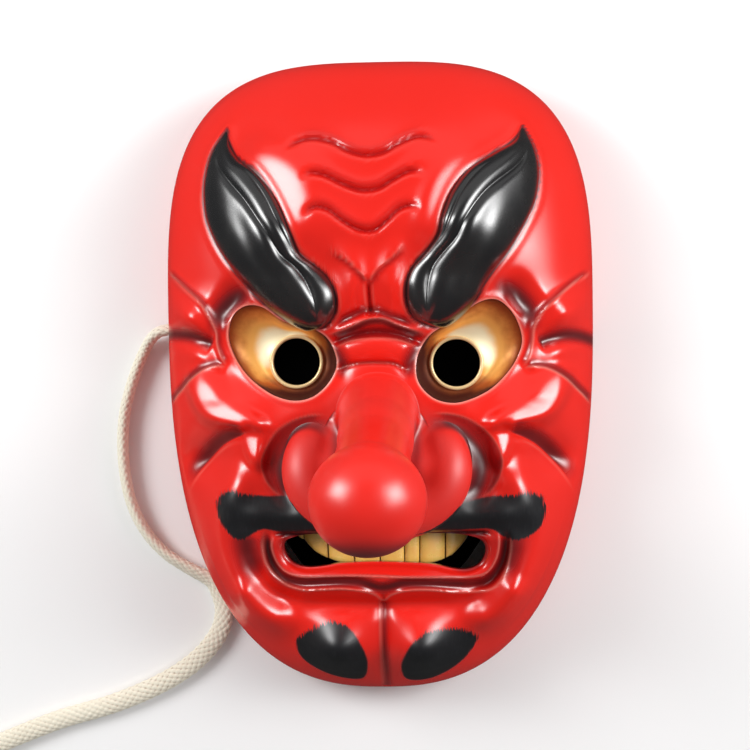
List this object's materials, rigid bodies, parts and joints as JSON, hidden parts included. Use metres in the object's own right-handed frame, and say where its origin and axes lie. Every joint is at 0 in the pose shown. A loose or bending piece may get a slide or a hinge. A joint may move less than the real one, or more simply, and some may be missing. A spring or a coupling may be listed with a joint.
{
  "type": "mask",
  "caption": "Long-nosed red goblin face mask with black brows, gilt eye plates and teeth, and a braided tie cord.",
  "frame": {"origin": "centre of the mask's outline, on the plane of its rim, with the mask lying on its rim", "axes": "+X across the face to the right as it is looked at, +Y from chin to crown, +Z out of the face"},
  "size_m": [0.386, 0.3275, 0.1618],
  "materials": {
    "red_lacquer": "glossy red lacquer, sprayed darker in the hollows",
    "black_lacquer": "satin black lacquer",
    "gilt": "antique gold, brown in the recesses",
    "cotton": "natural braided cotton"
  },
  "bodies": {
    "root": {"face_shell": "red_lacquer", "nose": "red_lacquer", "brow_left": "black_lacquer", "brow_right": "black_lacquer", "eye_left": "gilt", "eye_right": "gilt", "upper_teeth": "gilt", "cord": "cotton", "cord_coil": "cotton", "cord_stopper_knot": "cotton", "cord_end_knot": "cotton"}
  },
  "joints": []
}
